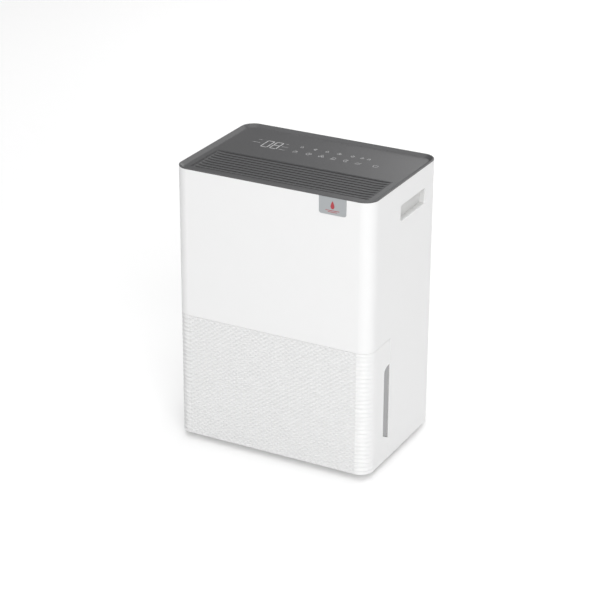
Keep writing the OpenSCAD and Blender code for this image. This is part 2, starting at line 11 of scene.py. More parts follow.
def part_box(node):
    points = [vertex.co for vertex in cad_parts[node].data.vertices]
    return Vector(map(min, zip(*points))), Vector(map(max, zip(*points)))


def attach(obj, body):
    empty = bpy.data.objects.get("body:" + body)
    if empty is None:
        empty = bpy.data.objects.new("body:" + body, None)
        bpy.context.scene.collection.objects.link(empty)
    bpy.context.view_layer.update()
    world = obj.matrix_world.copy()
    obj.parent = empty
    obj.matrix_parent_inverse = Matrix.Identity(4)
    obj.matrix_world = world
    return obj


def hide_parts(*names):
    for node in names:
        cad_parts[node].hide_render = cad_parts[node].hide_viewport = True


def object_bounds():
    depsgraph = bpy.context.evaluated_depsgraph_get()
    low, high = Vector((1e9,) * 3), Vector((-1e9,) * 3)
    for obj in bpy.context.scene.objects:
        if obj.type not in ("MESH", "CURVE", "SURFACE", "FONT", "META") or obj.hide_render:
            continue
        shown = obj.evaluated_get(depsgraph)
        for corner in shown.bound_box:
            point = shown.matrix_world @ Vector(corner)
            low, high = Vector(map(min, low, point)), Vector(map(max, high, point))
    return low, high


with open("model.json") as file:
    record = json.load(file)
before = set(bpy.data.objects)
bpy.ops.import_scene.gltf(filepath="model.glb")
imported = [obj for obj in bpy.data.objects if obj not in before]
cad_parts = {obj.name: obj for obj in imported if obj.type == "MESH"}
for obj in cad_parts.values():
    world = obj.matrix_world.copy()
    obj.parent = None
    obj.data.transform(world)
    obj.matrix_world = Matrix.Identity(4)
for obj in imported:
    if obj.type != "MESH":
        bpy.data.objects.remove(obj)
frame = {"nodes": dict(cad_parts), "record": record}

bl_info = {
    "name": "Dehumidifier builder",
    "version": (1, 0, 0),
    "blender": (4, 5, 0),
    "location": "3D View > Sidebar > Dehumidifier",
    "description": "Builds the fine shapes and finishes of a compressor dehumidifier",
    "category": "Object",
}

MM = 0.001
CASE_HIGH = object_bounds()[1]
HALF_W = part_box("front_casing")[1].x
HALF_D = -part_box("front_casing")[0].y
CORNER = 23 * MM
COVER_LOW, COVER_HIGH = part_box("tank_front_cover")
DISH_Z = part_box("control_overlay")[1].z
GRILLE_LOW, GRILLE_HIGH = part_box("outlet_grille")
BADGE_LOW, BADGE_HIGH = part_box("badge_plate")
NET_LOW, NET_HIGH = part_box("filter_mesh")
SLOT_OF = {part["node"]: part["material_slot"] for part in frame["record"]["subparts"]}


# ---- Colours and nodes ----

def linear(text):
    """An sRGB hex colour as linear red, green, blue and alpha."""
    parts = [int(text[i:i + 2], 16) / 255 for i in (1, 3, 5)]
    return tuple(c / 12.92 if c <= 0.04045 else ((c + 0.055) / 1.055) ** 2.4 for c in parts) + (1.0,)


def shade(text, factor):
    """The same colour, lighter or darker by a factor, in linear light."""
    red, green, blue, alpha = linear(text)
    return (min(red * factor, 1.0), min(green * factor, 1.0), min(blue * factor, 1.0), alpha)


def add(tree, kind, values=None, links=None, **settings):
    """Adds a node with its own settings, the values of its loose sockets and its links."""
    node = tree.nodes.new(kind)
    for key, value in settings.items():
        setattr(node, key, value)
    for key, value in (values or {}).items():
        node.inputs[key].default_value = value
    for key, (source, output) in (links or {}).items():
        tree.links.new(source.outputs[output], node.inputs[key])
    return node


def begin(name, colour, roughness, values=None):
    """A new material with its shader's constants set."""
    material = bpy.data.materials.new(name)
    material.use_nodes = True
    shader = material.node_tree.nodes["Principled BSDF"]
    shader.inputs["Base Color"].default_value = linear(colour)
    shader.inputs["Roughness"].default_value = roughness
    for key, value in (values or {}).items():
        shader.inputs[key].default_value = value
    return material, material.node_tree, shader


def tint(tree, source, output, low, high, shader):
    """Base colour that follows a pattern between two linear colours."""
    mix = add(tree, "ShaderNodeMix", {6: low, 7: high}, {0: (source, output)}, data_type="RGBA")
    tree.links.new(mix.outputs[2], shader.inputs["Base Color"])


def bumps(tree, source, output, strength, depth, shader):
    """Bumps that follow a pattern, their depth in mm."""
    node = add(tree, "ShaderNodeBump", {"Strength": strength, "Distance": depth * MM},
               {"Height": (source, output)})
    tree.links.new(node.outputs["Normal"], shader.inputs["Normal"])


def clouds(tree, place, colour, size, spread, shader):
    """Faint clouds of colour, size across in mm, that keep a large face from looking flat."""
    drift = add(tree, "ShaderNodeTexNoise", {"Scale": 1000 / size, "Detail": 3.0},
                {"Vector": (place, "Object")})
    tint(tree, drift, "Fac", shade(colour, 1 - spread), shade(colour, 1 + spread), shader)


def gloss(tree, source, output, low, high, shader):
    """Roughness that follows a pattern between two values."""
    span = {"From Min": 0.3, "From Max": 0.7, "To Min": low, "To Max": high}
    level = add(tree, "ShaderNodeMapRange", span, {"Value": (source, output)})
    tree.links.new(level.outputs["Result"], shader.inputs["Roughness"])


def moulded(name, colour, roughness, grain, relief, values=None, spread=0.025):
    """Injection-moulded plastic: an eroded grain, its size and relief in mm, under faint clouds."""
    material, tree, shader = begin(name, colour, roughness, values)
    place = add(tree, "ShaderNodeTexCoord")
    fine = add(tree, "ShaderNodeTexNoise", {"Scale": 1000 / grain, "Detail": 2.0, "Roughness": 0.6},
               {"Vector": (place, "Object")})
    clouds(tree, place, colour, 60, spread, shader)
    gloss(tree, fine, "Fac", roughness - 0.04, roughness + 0.05, shader)
    bumps(tree, fine, "Fac", 1.0, relief, shader)
    return material


def brushed(name, colour, roughness, stretch, line, values=None, spread=0.06):
    """Metal brushed or drawn one way: fine lines, their width in mm, long along the small stretch axis."""
    material, tree, shader = begin(name, colour, roughness, {"Metallic": 1.0, **(values or {})})
    place = add(tree, "ShaderNodeTexCoord")
    turn = add(tree, "ShaderNodeMapping", {"Scale": stretch}, {"Vector": (place, "Object")})
    lines = add(tree, "ShaderNodeTexNoise", {"Scale": 1000 / line, "Detail": 3.0, "Roughness": 0.65},
                {"Vector": (turn, "Vector")})
    tint(tree, lines, "Fac", shade(colour, 1 - spread), shade(colour, 1 + spread), shader)
    gloss(tree, lines, "Fac", roughness - 0.08, roughness + 0.10, shader)
    bumps(tree, lines, "Fac", 0.6, 0.01, shader)
    return material


def spangled(name, colour, roughness):
    """Hot-dip galvanised sheet: crystals of zinc about 9 mm across, each a little lighter or duller."""
    material, tree, shader = begin(name, colour, roughness, {"Metallic": 1.0})
    place = add(tree, "ShaderNodeTexCoord")
    crystal = add(tree, "ShaderNodeTexVoronoi", {"Scale": 1000 / 9}, {"Vector": (place, "Object")})
    tint(tree, crystal, "Color", shade(colour, 0.86), shade(colour, 1.1), shader)
    gloss(tree, crystal, "Color", roughness - 0.06, roughness + 0.12, shader)
    return material


def tarnished(name, colour, dull, roughness, patch):
    """Drawn copper: warm metal, duller and browner in patches from brazing, their size in mm."""
    material, tree, shader = begin(name, colour, roughness, {"Metallic": 1.0})
    place = add(tree, "ShaderNodeTexCoord")
    patches = add(tree, "ShaderNodeTexNoise", {"Scale": 1000 / patch, "Detail": 5.0, "Roughness": 0.6},
                  {"Vector": (place, "Object")})
    tint(tree, patches, "Fac", linear(colour), linear(dull), shader)
    gloss(tree, patches, "Fac", roughness - 0.05, roughness + 0.15, shader)
    return material


def circuit(name, colour):
    """Solder resist over copper tracks: square cells of lighter and darker green, 3 mm across."""
    material, tree, shader = begin(name, colour, 0.3, {"Coat Weight": 0.3, "Coat Roughness": 0.15})
    place = add(tree, "ShaderNodeTexCoord")
    tracks = add(tree, "ShaderNodeTexVoronoi", {"Scale": 1000 / 3}, {"Vector": (place, "Object")},
                 distance="CHEBYCHEV", feature="F1")
    tint(tree, tracks, "Distance", shade(colour, 1.5), shade(colour, 0.75), shader)
    bumps(tree, tracks, "Distance", 0.4, 0.05, shader)
    return material


def make_finishes(look):
    """One material for each slot of the record, and one more for the rippled front, a little darker as
    painted shade.
    """
    return {
        # White ABS, spark-eroded mould: a soft satin with no mirror, very slightly cool
        "white_abs": moulded("White ABS, satin moulded", look.shell, 0.42, 0.9, 0.010, spread=0.008),
        # The same plastic where the mould is rippled, with a coarser grain; its colour is a little darker
        # as painted shade for the shadows the ripples cast on themselves
        "ripple_abs_painted_shade": moulded("White ABS, coarse grained ripple", look.ripple, 0.50, 1.1, 0.03,
                              spread=0.008),
        # Dark grey ABS: the same grain, but the sheen shows because the colour is dark
        "dark_grey_abs": moulded("Dark grey ABS, fine satin moulded", look.top, 0.36, 0.7, 0.012),
        # The slats are a shade darker and a little duller, so that they recede
        "slat_grey_abs": moulded("Slat grey ABS, satin moulded", look.slats, 0.48, 0.8, 0.012),
        # Light grey ABS inside the grips and under the cabinet: matte, coarser grain
        "grey_abs": moulded("Light grey ABS, matte moulded", "#D9D9D8", 0.55, 1.2, 0.02),
        "circuit_board": circuit("Solder resist on laminate", "#1F5A33"),
        # Glass-filled black plastic: dull, slightly speckled
        "black_plastic": moulded("Black polypropylene, matte moulded", "#2B2B2C", 0.55, 1.4, 0.02,
                                 spread=0.08),
        # Zinc plating: bright, slightly blue, with turning marks
        "plated_steel": brushed("Zinc plated steel, turned", "#C6C9CC", 0.30, (1, 1, 1), 0.6),
        # Brushed aluminium plate: lines run from side to side
        "brushed_badge": brushed("Brushed aluminium plate", "#B0B3B5", 0.36, (0.03, 1, 1), 0.35),
        "foot_plastic": moulded("White polypropylene feet, matte moulded", "#DDDDDC", 0.55, 1.2, 0.02),
        # Rubber: no gloss at all, a dusty surface
        "black_rubber": moulded("Black rubber, pressed", "#333333", 0.80, 1.6, 0.03, spread=0.10),
        # Natural polypropylene: milky, light passes and scatters
        "tank_plastic": moulded("Natural polypropylene, milky", "#E3E8EA", 0.32, 2.0, 0.008,
                                {"Transmission Weight": 0.35, "IOR": 1.49, "Subsurface Weight": 0.2,
                                 "Subsurface Scale": 0.004}),
        "lid_plastic": moulded("White polypropylene, satin moulded", "#ECECEA", 0.40, 1.1, 0.012),
        # Smoked styrene window: grey, semi-clear, polished on the outside
        "smoke_window": moulded("Smoked styrene, polished", "#A3A3A4", 0.16, 3.0, 0.003,
                                {"Transmission Weight": 0.25, "IOR": 1.55}, spread=0.015),
        # Mill-finish foil: bright with fine lines along the roll direction
        "coil_aluminium": brushed("Aluminium fin foil, mill finish", "#CDD2D5", 0.34, (1, 1, 0.05), 0.5),
        "copper_tube": tarnished("Drawn copper tube", "#C98A5E", "#9A5C3A", 0.30, 12),
        "galvanised_plate": spangled("Galvanised sheet steel", "#B4B8BA", 0.42),
        # Baked enamel: deep black, slightly uneven like orange peel
        "black_enamel": moulded("Black baked enamel", "#161617", 0.28, 3.5, 0.03,
                                {"Coat Weight": 0.4, "Coat Roughness": 0.12}, spread=0.05),
        "duct_plastic": moulded("White polystyrene duct, matte moulded", "#E4E4E2", 0.50, 1.3, 0.015),
        "motor_case": brushed("Zinc coated motor case, pressed", "#8E9194", 0.42, (1, 0.2, 1), 0.8),
        "capacitor_can": brushed("Drawn aluminium can", "#C4C7C9", 0.32, (1, 1, 0.05), 0.5),
        "filter_net": moulded("Woven nylon net thread", "#4A4C50", 0.60, 0.5, 0.01, spread=0.08),
        "clear_hose": moulded("Soft clear PVC hose", "#D5DADC", 0.25, 2.0, 0.01,
                              {"Transmission Weight": 0.6, "IOR": 1.53}),
        # Screen-printed inks: thin, matte, a little uneven where the mesh lets less through
        "pale_ink": moulded("Pale grey printed ink", look.ink, 0.55, 0.4, 0.004, spread=0.06),
        "red_ink": moulded("Muted red enamel inlay", look.emblem, 0.30, 0.6, 0.004, spread=0.04),
    }


FINISH = {}


# ---- Modelling helpers ----

def deselect():
    """Back to object mode, with nothing selected."""
    if bpy.context.mode != "OBJECT":
        bpy.ops.object.mode_set(mode="OBJECT")
    bpy.ops.object.select_all(action="DESELECT")


def activate(piece):
    """Makes one piece the selected and active one."""
    deselect()
    piece.select_set(True)
    bpy.context.view_layer.objects.active = piece
    return piece


def block(low, high):
    """A box between two corners, in mm."""
    deselect()
    middle = [(a + b) / 2 * MM for a, b in zip(low, high)]
    bpy.ops.mesh.primitive_cube_add(size=1, location=middle)
    piece = bpy.context.object
    piece.scale = [(b - a) * MM for a, b in zip(low, high)]
    bpy.ops.object.transform_apply(location=True, rotation=True, scale=True)
    return piece


def from_mesh(name, points, faces):
    """An object from points in metres and faces."""
    mesh = bpy.data.meshes.new(name)
    mesh.from_pydata([tuple(p) for p in points], [], faces)
    mesh.validate()
    piece = bpy.data.objects.new(name, mesh)
    bpy.context.scene.collection.objects.link(piece)
    return piece


def choose(piece, kind, test):
    """In edit mode, selects the verts, edges or faces that pass a test."""
    bpy.ops.mesh.select_mode(type={"verts": "VERT", "edges": "EDGE", "faces": "FACE"}[kind])
    bpy.ops.mesh.select_all(action="DESELECT")
    mesh = bmesh.from_edit_mesh(piece.data)
    for item in getattr(mesh, kind):
        if test(item):
            item.select_set(True)
    mesh.select_flush_mode()
    bmesh.update_edit_mesh(piece.data)


def merged_copy(node):
    """A copy of a carried-over part, its loose triangles merged into whole faces."""
    source = frame["nodes"][node]
    piece = bpy.data.objects.new(node + "_copy", source.data.copy())
    bpy.context.scene.collection.objects.link(piece)
    activate(piece)
    if piece.data.has_custom_normals:
        bpy.ops.mesh.customdata_custom_splitnormals_clear()
    bpy.ops.object.mode_set(mode="EDIT")
    bpy.ops.mesh.select_all(action="SELECT")
    bpy.ops.mesh.remove_doubles(threshold=0.005 * MM)
    bpy.ops.mesh.dissolve_limited(angle_limit=math.radians(0.4))
    bpy.ops.object.mode_set(mode="OBJECT")
    return piece


def bevel(piece, width, segments=2, angle=40):
    """Rounds the sharp edges of a piece, width in mm, and applies the modifier."""
    activate(piece)
    rounding = piece.modifiers.new("Bevel", "BEVEL")
    rounding.width = width * MM
    rounding.segments = segments
    rounding.limit_method = "ANGLE"
    rounding.angle_limit = math.radians(angle)
    rounding.use_clamp_overlap = False
    bpy.ops.object.modifier_apply(modifier=rounding.name)


def face_outward(piece):
    """Turns all of a piece's faces outwards."""
    activate(piece)
    bpy.ops.object.mode_set(mode="EDIT")
    bpy.ops.mesh.select_all(action="SELECT")
    bpy.ops.mesh.normals_make_consistent(inside=False)
    bpy.ops.object.mode_set(mode="OBJECT")


def cut_across(piece, places):
    """Adds a ring of edges at each place along X, in mm."""
    activate(piece)
    bpy.ops.object.mode_set(mode="EDIT")
    for x in places:
        bpy.ops.mesh.select_all(action="SELECT")
        bpy.ops.mesh.bisect(plane_co=(x * MM, 0, 0), plane_no=(1, 0, 0))
    bpy.ops.object.mode_set(mode="OBJECT")


def join(pieces, name):
    """Joins pieces into the first one, under a new name."""
    activate(pieces[0])
    for piece in pieces[1:]:
        piece.select_set(True)
    bpy.ops.object.join()
    joined = bpy.context.object
    joined.name = name
    joined.data.name = name
    return joined


def settle(piece, name, body, slot, finish=None, smooth=30, stands_for=()):
    """Names a finished piece, gives it its finish and its body, and hides the part it stands for."""
    activate(piece)
    bpy.ops.object.transform_apply(location=True, rotation=True, scale=True)
    bpy.ops.object.shade_smooth_by_angle(angle=math.radians(smooth))
    piece.name = name
    piece.data.name = name
    piece.data.materials.clear()
    piece.data.materials.append(FINISH[finish or slot])
    normals = piece.modifiers.new("Face normals", "WEIGHTED_NORMAL")
    normals.keep_sharp = True
    normals.weight = 100
    bpy.ops.object.modifier_apply(modifier=normals.name)
    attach(piece, body)
    if stands_for:
        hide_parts(*stands_for)
    deselect()
    return piece


def soften(node, width, segments=2):
    """Softens a carried-over part's edges with live modifiers: its own mesh stays as it is."""
    part = frame["nodes"][node]
    activate(part)
    if part.data.has_custom_normals:
        bpy.ops.mesh.customdata_custom_splitnormals_clear()
    weld = part.modifiers.new("Weld", "WELD")
    weld.merge_threshold = 0.005 * MM
    flat = part.modifiers.new("Flat faces", "DECIMATE")
    flat.decimate_type = "DISSOLVE"
    flat.angle_limit = math.radians(0.4)
    rounding = part.modifiers.new("Soft edges", "BEVEL")
    rounding.width = width * MM
    rounding.segments = segments
    rounding.limit_method = "ANGLE"
    rounding.angle_limit = math.radians(35)
    rounding.use_clamp_overlap = False
    part.data.polygons.foreach_set("use_smooth", [True] * len(part.data.polygons))
    normals = part.modifiers.new("Face normals", "WEIGHTED_NORMAL")
    normals.keep_sharp = False
    normals.weight = 100
    deselect()


def inset_of(x, y):
    """How far a point of the plan lies inside the cabinet's outline."""
    along, across = abs(x) - (HALF_W - CORNER), abs(y) - (HALF_D - CORNER)
    if along > 0 and across > 0:
        return CORNER - math.hypot(along, across)
    return min(HALF_W - abs(x), HALF_D - abs(y))


def settings():
    """The sizes and colours that a user may change."""
    return bpy.context.scene.dehumidifier


# ---- Settings ----

class DehumidifierSettings(bpy.types.PropertyGroup):
    """Sizes and colours of the fine shapes."""

    shell: StringProperty(name="Shell colour", description="Colour of the white cabinet, sRGB hex",
                          default="#E8E8E8")
    # The rippled front's colour is darker than the shell's: painted shade for the ripples' own shadows
    ripple: StringProperty(name="Ripple colour", description="Colour of the rippled front, sRGB hex",
                           default="#E0E0E0")
    top: StringProperty(name="Top colour", description="Colour of the top cover, sRGB hex",
                        default="#565657")
    slats: StringProperty(name="Slat colour", description="Colour of the air outlet, sRGB hex",
                          default="#545455")
    ink: StringProperty(name="Ink colour", description="Colour of the printed marks, sRGB hex",
                        default="#D0D0D0")
    emblem: StringProperty(name="Emblem colour", description="Colour of the drop on the badge, sRGB hex",
                           default="#A8343C")
    lip_outer: FloatProperty(name="Lip outer radius", description="Rounding of the top cover's outer edge",
                             default=1.1 * MM, unit="LENGTH")
    lip_inner: FloatProperty(name="Lip inner radius", description="Rounding of the top cover's inner edge",
                             default=0.5 * MM, unit="LENGTH")
    lip_top: FloatProperty(name="Lip top", description="Width of the lip before it slopes down to the dish",
                           default=2.2 * MM, unit="LENGTH")
    slat_rise: FloatProperty(name="Slat rise", description="How far each slat's ends turn up",
                             default=0.8 * MM, unit="LENGTH")
    ripple_depth: FloatProperty(name="Ripple depth", description="Depth of the ripple on the tank cover",
                                default=2.0 * MM, unit="LENGTH")
    ripple_row: FloatProperty(name="Ripple row", description="Height of one full ripple",
                              default=7.5 * MM, unit="LENGTH")
    ripple_count: IntProperty(name="Ripples across", description="Half waves across the front",
                              default=60, min=8, max=80)
    net_pitch: FloatProperty(name="Net pitch", description="Distance between the threads of the filter net",
                             default=2.4 * MM, unit="LENGTH")
    key_light: FloatProperty(name="Key light", description="Power of the large soft light",
                             default=185.0, unit="POWER")
    rear_light: FloatProperty(name="Rear light", description="Power of the panel behind the object",
                              default=28.0, unit="POWER")
    top_light: FloatProperty(name="Top light", description="Strength of the soft light from above",
                             default=1.75)
    sky: FloatProperty(name="Sky", description="Strength of the even light all round", default=0.13)


# ---- Stage ----

class DEHUMIDIFIER_OT_stage(bpy.types.Operator):
    """Makes the camera, the floor and the soft studio lights"""

    bl_idname = "dehumidifier.stage"
    bl_label = "Stage"

    # The camera's turn about Z, height above level and roll in degrees, its place in m and its lens in mm
    TURN, CLIMB, ROLL = 27.74, 24.065, 0.30
    CAMERA_AT, LENS = (1.41102, -2.70503, 1.60030), 122.14
    FLOOR_COLOUR, FLOOR_GLOW = "#F2F2F2", 0.12

    def execute(self, context):
        look = settings()
        scene = context.scene
        scene.view_settings.view_transform = "Standard"
        turn, climb, roll = (math.radians(a) for a in (self.TURN, self.CLIMB, self.ROLL))
        back = Vector((math.sin(turn) * math.cos(climb), -math.cos(turn) * math.cos(climb),
                       math.sin(climb)))
        level = Vector((math.cos(turn), math.sin(turn), 0))
        lift = back.cross(level)
        right = level * math.cos(roll) + lift * math.sin(roll)
        up = lift * math.cos(roll) - level * math.sin(roll)
        deselect()
        bpy.ops.object.camera_add(location=self.CAMERA_AT)
        camera = context.object
        camera.rotation_euler = Matrix((right, up, back)).transposed().to_euler()
        camera.data.lens = self.LENS
        camera.data.sensor_width = 36
        camera.data.clip_end = 100
        scene.camera = camera

        bpy.ops.mesh.primitive_plane_add(size=24, location=(0, 4, 0))
        floor = context.object
        floor.name = "Studio_floor"
        material, tree, shader = begin("Pale studio floor, matte paint", self.FLOOR_COLOUR, 0.9)
        place = add(tree, "ShaderNodeTexCoord")
        clouds(tree, place, self.FLOOR_COLOUR, 800, 0.004, shader)
        shader.inputs["Emission Color"].default_value = (1, 1, 1, 1)
        shader.inputs["Emission Strength"].default_value = self.FLOOR_GLOW
        shader.inputs["Specular IOR Level"].default_value = 0.1
        floor.data.materials.append(material)

        aim = Vector((0, 0, 0.25))
        for name, place, size, power in (
                ("Key", (2.55, -3.90, 2.90), 3.8, look.key_light),
                ("Rear_panel", (0.15, 2.70, 1.60), 2.6, look.rear_light)):
            bpy.ops.object.light_add(type="AREA", location=place)
            light = context.object
            light.name = name
            light.rotation_euler = (Vector(place) - aim).to_track_quat("Z", "Y").to_euler()
            light.data.size = size
            light.data.energy = power
        bpy.ops.object.light_add(type="SUN", location=(0, 0, 3))
        light = context.object
        light.name = "Overhead"
        light.data.angle = math.radians(70)
        light.data.energy = look.top_light
        world = bpy.data.worlds.new("Studio")
        world.use_nodes = True
        sky = world.node_tree.nodes["Background"]
        sky.inputs["Color"].default_value = (1, 1, 1, 1)
        sky.inputs["Strength"].default_value = look.sky
        scene.world = world
        return {"FINISHED"}


# ---- Carried-over parts ----

class DEHUMIDIFIER_OT_parts(bpy.types.Operator):
    """Gives every carried-over part its finish, and soft edges where they show"""

    bl_idname = "dehumidifier.parts"
    bl_label = "Carried-over parts"

    # Width in mm of the soft edge on each part; a part that isn't here keeps its edges
    EDGES = {
        "front_casing": 0.4, "rear_cover": 0.6, "control_overlay": 0.3, "base_pan": 0.6, "feet": 1.0,
        "foot_pads": 0.4, "left_grip_cup": 0.8, "right_grip_cup": 0.8, "bay_wall": 0.4, "deck": 0.5,
        "water_tank": 0.9, "level_windows": 0.5, "tank_lid": 0.8, "tank_handle": 1.0, "tank_float": 0.8,
        "tank_switch": 0.5, "switch_lever": 0.3, "drip_tray": 0.6, "compressor": 1.0,
        "compressor_grommets": 0.8, "compressor_bolts": 0.4, "terminal_cover": 1.2, "fan_scroll": 0.5,
        "orifice_plate": 0.4, "fan_motor": 1.2, "fan_shaft": 0.4, "control_box": 0.5, "capacitor": 1.0,
        "humidity_sensor": 0.4, "filter_frame": 0.4, "drain_recess": 0.5, "drain_spigot": 0.4,
        "cord_gland": 0.6, "display_digits": 0.5,
    }

    def execute(self, context):
        for node, part in frame["nodes"].items():
            finish = FINISH[SLOT_OF[node]]
            part.data.materials.clear()
            part.data.materials.append(finish)
            if node in self.EDGES:
                soften(node, self.EDGES[node])
        return {"FINISHED"}


# ---- Top ----

class DEHUMIDIFIER_OT_top_cover(bpy.types.Operator):
    """Shapes the dark top cover: a thin lip, rounded outside, sloping down to the dish inside"""

    bl_idname = "dehumidifier.top_cover"
    bl_label = "Top cover"

    LIP = 8 * MM
    # How near a point has to be to count as on the top face, and as on a line of the plan
    LEVEL, NEAR = 0.01 * MM, 0.05 * MM

    def on_ring(self, point, inset):
        """Whether a point lies on the top face, this far inside the cabinet's outline."""
        return (abs(point.z - CASE_HIGH.z) < self.LEVEL
                and abs(inset_of(point.x, point.y) - inset) < self.NEAR)

    def execute(self, context):
        look = settings()
        piece = merged_copy("top_cover")
        for vertex in piece.data.vertices:
            if self.on_ring(vertex.co, self.LIP):
                x, y, z = vertex.co
                middle = Vector((math.copysign(HALF_W - CORNER, x), math.copysign(HALF_D - CORNER, y), z))
                vertex.co = middle + (vertex.co - middle) * (CORNER - look.lip_top) / (CORNER - self.LIP)
        for inset, width, segments in ((0, look.lip_outer, 3), (look.lip_top, look.lip_inner, 2)):
            bpy.ops.object.mode_set(mode="EDIT")
            choose(piece, "edges", lambda edge: all(self.on_ring(v.co, inset) for v in edge.verts))
            bpy.ops.mesh.bevel(offset=width, segments=segments, affect="EDGES", clamp_overlap=False)
            bpy.ops.object.mode_set(mode="OBJECT")
        settle(piece, "Top_cover", "cabinet", "dark_grey_abs", stands_for=("top_cover",))
        return {"FINISHED"}


class DEHUMIDIFIER_OT_outlet(bpy.types.Operator):
    """Makes the air outlet: slats whose ends turn up to the panel, over thin cross ribs"""

    bl_idname = "dehumidifier.outlet"
    bl_label = "Air outlet"

    # All in mm. Slats: how many, their spacing, the first one's front edge, their width and height
    COUNT, PITCH, FIRST_Y, WIDTH, HEIGHT = 8, 10.0, -92.2, 5.4, 4
    # Half a slat's length, where its end starts to turn up, and in how many steps
    REACH, BEND, BEND_STEPS = 155.2, 134.0, 7
    # Ribs: how many each side of the middle one, their spacing and half width
    RIBS, RIB_PITCH, RIB_HALF = 13, 11.5, 0.8
    # How far the ribs' tops and feet and the ramp's top lie below the slats' tops
    RIB_TOP, RIB_FOOT, RAMP_TOP = 1.8, 6, 5
    # How far in from the outlet's front and rear edges the ribs end, inside the rim's wall
    RIB_INSET = 1.5
    # The ramp under the slats' ends: its rise, and in how many steps
    RAMP, RAMP_STEPS = 5.2, 8
    RIM_RISE, RIM_WALL = 0.7, 2.2

    def ramp(self, side, front, rear, top):
        """The curved floor under the slats' ends on one side, from front to rear."""
        start, end = sorted((side * (self.BEND - 2), side * (self.REACH - 1)))
        piece = block((start, front, top - self.RIB_FOOT), (end, rear, top - self.RAMP_TOP))
        cut_across(piece, [start + (end - start) * i / self.RAMP_STEPS for i in range(1, self.RAMP_STEPS)])
        for vertex in piece.data.vertices:
            if vertex.co.z > (top - (self.RAMP_TOP + self.RIB_FOOT) / 2) * MM:
                along = (abs(vertex.co.x) / MM - self.BEND + 2) / (self.REACH + 1 - self.BEND)
                vertex.co.z += self.RAMP * MM * along * along
        return piece

    def execute(self, context):
        look = settings()
        top = GRILLE_HIGH.z / MM
        slat = block((-self.REACH, self.FIRST_Y, top - self.HEIGHT),
                     (self.REACH, self.FIRST_Y + self.WIDTH, top))
        steps = [self.BEND + (self.REACH - self.BEND) * i / self.BEND_STEPS for i in range(self.BEND_STEPS)]
        cut_across(slat, steps + [-x for x in steps])
        for vertex in slat.data.vertices:
            along = max(0, abs(vertex.co.x) / MM - self.BEND) / (self.REACH - self.BEND)
            vertex.co.z += look.slat_rise * along * along * (3 - 2 * along)
        bevel(slat, 1.3, 4)
        pieces = [slat]
        for i in range(1, self.COUNT):
            activate(slat)
            bpy.ops.object.duplicate(linked=False)
            copy = context.object
            copy.location.y = i * self.PITCH * MM
            bpy.ops.object.transform_apply(location=True, rotation=False, scale=False)
            pieces.append(copy)
        outlet = join(pieces, "Outlet_slats")
        settle(outlet, "Outlet_slats", "cabinet", "slat_grey_abs", smooth=50, stands_for=("outlet_grille",))

        low, high = GRILLE_LOW / MM, GRILLE_HIGH / MM
        front, rear = low.y + self.RIB_INSET, high.y - self.RIB_INSET
        ribs = []
        for i in range(-self.RIBS, self.RIBS + 1):
            x = i * self.RIB_PITCH
            rib = block((x - self.RIB_HALF, front, top - self.RIB_FOOT),
                        (x + self.RIB_HALF, rear, top - self.RIB_TOP))
            bevel(rib, 0.25, 2)
            ribs.append(rib)
        ribs += [self.ramp(side, front, rear, top) for side in (-1, 1)]
        rim = block((low.x, low.y, top - self.RIB_FOOT), (high.x, high.y, top + self.RIM_RISE))
        activate(rim)
        bpy.ops.object.mode_set(mode="EDIT")
        choose(rim, "faces", lambda face: abs(face.normal.z) > 0.5)
        bpy.ops.mesh.delete(type="FACE")
        bpy.ops.object.mode_set(mode="OBJECT")
        wall = rim.modifiers.new("Wall", "SOLIDIFY")
        wall.thickness = self.RIM_WALL * MM
        wall.offset = -1
        bpy.ops.object.modifier_apply(modifier=wall.name)
        bevel(rim, 0.3, 2)
        settle(join(ribs + [rim], "Outlet_ribs"), "Outlet_ribs", "cabinet", "slat_grey_abs")
        return {"FINISHED"}


def stroke_piece(name, lines, width, height):
    """Printed lines as one flat piece: each line is a list of points in mm on the panel."""
    curve = bpy.data.curves.new(name, "CURVE")
    curve.dimensions = "3D"
    curve.bevel_depth = width / 2 * MM
    curve.bevel_resolution = 1
    curve.use_fill_caps = True
    for points, closed in lines:
        spline = curve.splines.new("POLY")
        spline.points.add(len(points) - 1)
        for point, (x, y) in zip(spline.points, points):
            point.co = (x * MM, y * MM, 0, 1)
        spline.use_cyclic_u = closed
    piece = bpy.data.objects.new(name, curve)
    bpy.context.scene.collection.objects.link(piece)
    activate(piece)
    bpy.ops.object.convert(target="MESH")
    piece = bpy.context.object
    piece.scale.z = 2 * height / width
    piece.location.z = DISH_Z
    bpy.ops.object.transform_apply(location=True, rotation=True, scale=True)
    return piece


def arc(x, y, radius, start=0, end=360, steps=16):
    """Points along an arc, in degrees from +X."""
    closed = end - start >= 360
    count = steps if closed else steps + 1
    angles = [math.radians(start + (end - start) * i / steps) for i in range(count)]
    return [(x + radius * math.cos(a), y + radius * math.sin(a)) for a in angles], closed


def moved(line, x, y):
    """A line moved across the panel."""
    points, closed = line
    return [(px + x, py + y) for px, py in points], closed


